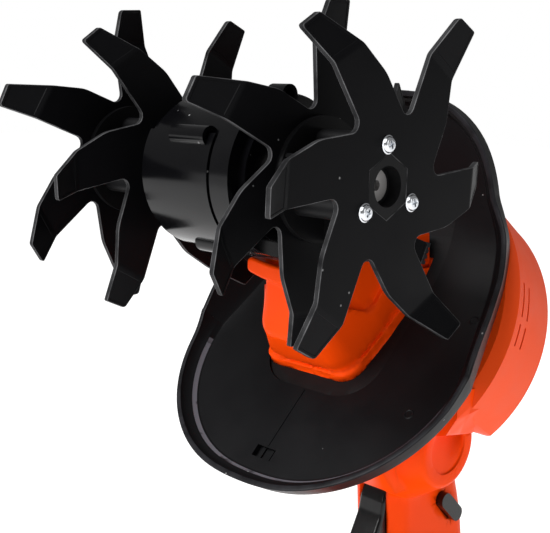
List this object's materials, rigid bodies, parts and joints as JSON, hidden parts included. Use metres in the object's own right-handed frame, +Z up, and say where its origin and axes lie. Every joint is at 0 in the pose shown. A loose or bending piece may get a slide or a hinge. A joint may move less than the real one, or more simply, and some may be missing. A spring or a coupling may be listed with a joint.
{
  "type": "handheld cordless tiller",
  "caption": "Handheld cordless tiller: curved star tine wheels on a shaft through a gear case, dished guard, motor drum, pistol grip and slide-on battery foot.",
  "frame": {"origin": "middle of the battery pack's underside, on which the tool stands", "axes": "+Z up, -Y forward towards the tines, X along the tine shaft, +X the side of the lock-off button"},
  "size_m": [0.2122, 0.2796, 0.4646],
  "materials": {
    "housing_near": "satin moulded orange, fine grain",
    "housing_far": "satin moulded orange, fine grain",
    "housing_screws": "black oxide screws",
    "neck_inserts": "matte dark grey moulding",
    "gear_case_near": "glossy black moulding",
    "gear_case_far": "glossy black moulding",
    "guard": "satin black moulding, fine grain",
    "guard_collar": "matte black",
    "motor_drum": "satin moulded orange, fine grain",
    "motor_cover": "satin moulded orange, fine grain",
    "motor": "bare steel can",
    "trigger": "matte black, fine grain",
    "lock_button": "matte black",
    "battery_pack": "matte black, fine grain",
    "battery_latch": "satin orange",
    "tine_shaft": "turned steel",
    "hub_near": "matte black moulding",
    "hub_far": "matte black moulding",
    "star_near_outer": "black powder coat on pressed steel",
    "star_near_inner": "black powder coat on pressed steel",
    "star_far_inner": "black powder coat on pressed steel",
    "star_far_outer": "black powder coat on pressed steel",
    "screws_near_outer": "bright plated screws",
    "screws_near_inner": "bright plated screws",
    "screws_far_inner": "bright plated screws",
    "screws_far_outer": "bright plated screws"
  },
  "bodies": {
    "body": {"housing_near": "housing_near", "housing_far": "housing_far", "housing_screws": "housing_screws", "neck_inserts": "neck_inserts", "gear_case_near": "gear_case_near", "gear_case_far": "gear_case_far", "guard": "guard", "guard_collar": "guard_collar", "motor_drum": "motor_drum", "motor_cover": "motor_cover", "motor": "motor", "trigger": "trigger", "lock_button": "lock_button", "battery_pack": "battery_pack", "battery_latch": "battery_latch"},
    "rotor": {"tine_shaft": "tine_shaft", "hub_near": "hub_near", "hub_far": "hub_far", "star_near_outer": "star_near_outer", "star_near_inner": "star_near_inner", "star_far_inner": "star_far_inner", "star_far_outer": "star_far_outer", "screws_near_outer": "screws_near_outer", "screws_near_inner": "screws_near_inner", "screws_far_inner": "screws_far_inner", "screws_far_outer": "screws_far_outer"}
  },
  "joints": [
    {"name": "tine_spin", "type": "hinge", "parent": "body", "child": "rotor", "pos_m": [0, -0.125, 0.382], "axis": [1, 0, 0], "continuous": true}
  ]
}
